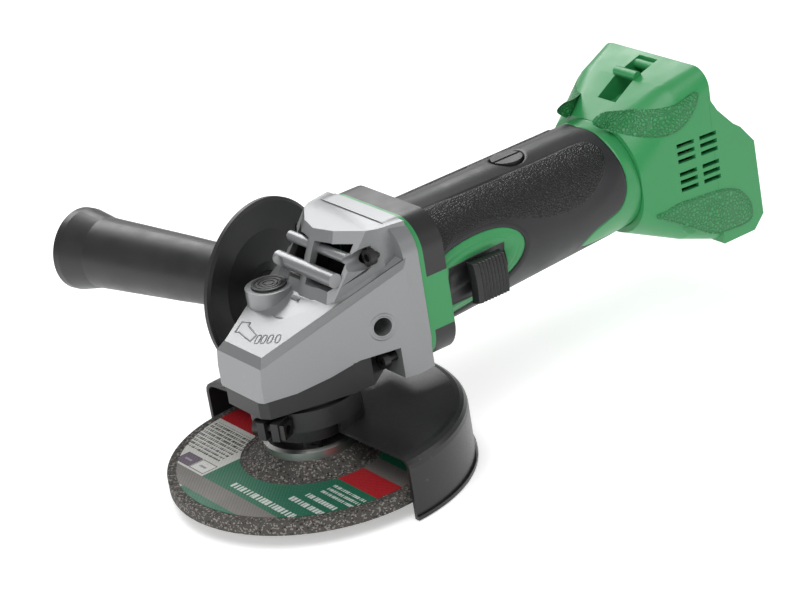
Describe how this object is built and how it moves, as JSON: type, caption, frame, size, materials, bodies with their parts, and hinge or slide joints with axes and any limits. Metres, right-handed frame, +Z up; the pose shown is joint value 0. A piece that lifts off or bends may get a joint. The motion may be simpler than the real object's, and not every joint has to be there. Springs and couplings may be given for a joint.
{
  "type": "angle grinder",
  "caption": "Battery-powered angle grinder without its battery: depressed-centre wheel under a bevel gear head, half guard, side handle with round hand guard, slide switch.",
  "frame": {"origin": "on the spindle axis at the lower face of the wheel nut", "axes": "+Z up the spindle towards the gear head, +X back towards the battery end, -Y the switch side"},
  "size_m": [0.2905, 0.2302, 0.12],
  "materials": {
    "abrasive": "coarse gritty grey-brown",
    "label_paper": "printed paper disc",
    "plated_steel": "machined and plated",
    "dark_steel": "black oxide",
    "case_paint": "satin silver-grey paint on die casting",
    "black_cast": "satin black paint",
    "black_plastic": "satin moulded",
    "soft_grip": "soft moulded, leather-like grain",
    "green_plastic": "satin moulded, fine texture",
    "copper": "bare copper",
    "brass": "bare brass",
    "lamination": "stacked laminations",
    "ferrite": "pressed ferrite",
    "carbon": "pressed carbon",
    "board": "potted tray"
  },
  "bodies": {
    "housing_body": {"upper_bush": "brass", "spindle_bearing_outer": "plated_steel", "spindle_bearing_balls": "plated_steel", "front_bearing_outer": "plated_steel", "front_bearing_balls": "plated_steel", "rear_bearing_outer": "plated_steel", "rear_bearing_balls": "plated_steel", "motor_yoke": "plated_steel", "motor_magnets": "ferrite", "carbon_brushes": "carbon", "brush_holders": "brass", "brush_springs": "plated_steel", "brush_caps": "black_plastic", "lock_spring": "plated_steel", "gear_case": "case_paint", "bearing_holder": "black_cast", "bearing_circlip": "dark_steel", "dust_seal": "black_plastic", "gear_case_screws": "dark_steel", "bearing_holder_screws": "dark_steel", "motor_housing": "green_plastic", "grip_skin": "soft_grip", "inner_cover": "black_plastic", "switch_block": "black_plastic", "switch_spring": "plated_steel", "controller": "board", "terminal_block": "black_plastic", "terminal_blades": "brass", "tail_cover_left": "green_plastic", "tail_cover_right": "green_plastic", "tail_cover_screws": "dark_steel"},
    "spindle_body": {"grinding_wheel": "abrasive", "wheel_label": "label_paper", "wheel_bush_ring": "plated_steel", "wheel_nut": "dark_steel", "inner_flange": "plated_steel", "spindle": "plated_steel", "spindle_bearing_inner": "plated_steel", "bevel_gear": "dark_steel", "gear_circlip": "dark_steel"},
    "armature_body": {"pinion": "dark_steel", "armature_shaft": "plated_steel", "armature_core": "lamination", "armature_windings": "copper", "commutator": "copper", "fan": "black_plastic", "front_bearing_inner": "plated_steel", "rear_bearing_inner": "plated_steel"},
    "lock_body": {"lock_button": "black_plastic", "lock_pin": "plated_steel"},
    "switch_body": {"switch_knob": "black_plastic", "switch_bar": "black_plastic", "switch_plunger": "black_plastic"},
    "guard_body": {"guard": "black_cast", "guard_collar": "black_cast", "guard_clamp_screw": "dark_steel", "guard_clamp_nut": "dark_steel"},
    "hand_guard_body": {"hand_guard_disc": "black_plastic"},
    "handle_body": {"handle_grip": "black_plastic", "handle_stud": "plated_steel"}
  },
  "joints": [
    {"name": "spindle_spin", "type": "hinge", "parent": "housing_body", "child": "spindle_body", "pos_m": [0, 0, 0], "axis": [0, 0, 1], "continuous": true},
    {"name": "armature_spin", "type": "hinge", "parent": "housing_body", "child": "armature_body", "pos_m": [0, 0, 0.068], "axis": [1, 0, 0], "continuous": true},
    {"name": "lock_press", "type": "slide", "parent": "housing_body", "child": "lock_body", "axis": [0, 0, -1], "range_m": [0, 0.0045], "stiffness_N_per_m": 500, "springref_m": -0.004, "deforming": ["lock_spring"]},
    {"name": "switch_slide", "type": "slide", "parent": "housing_body", "child": "switch_body", "axis": [-1, 0, 0], "range_m": [0, 0.007], "stiffness_N_per_m": 400, "springref_m": -0.004, "deforming": ["switch_spring"]},
    {"name": "guard_turn", "type": "hinge", "parent": "housing_body", "child": "guard_body", "pos_m": [0, 0, 0.029], "axis": [0, 0, 1], "range_deg": [-90, 90]},
    {"name": "handle_withdraw", "type": "slide", "parent": "housing_body", "child": "hand_guard_body", "axis": [-0.2504, 0.9681, 0], "range_m": [0, 0.01]},
    {"name": "handle_turn", "type": "hinge", "parent": "hand_guard_body", "child": "handle_body", "pos_m": [0.0245, 0.0298, 0.0603], "axis": [-0.2504, 0.9681, 0], "range_deg": [0, 2880]}
  ],
  "couplings": [
    {"joint": "armature_spin", "follows": "spindle_spin", "ratio": 2.3846},
    {"joint": "handle_withdraw", "follows": "handle_turn", "m_per_rad": 0.00019894}
  ]
}
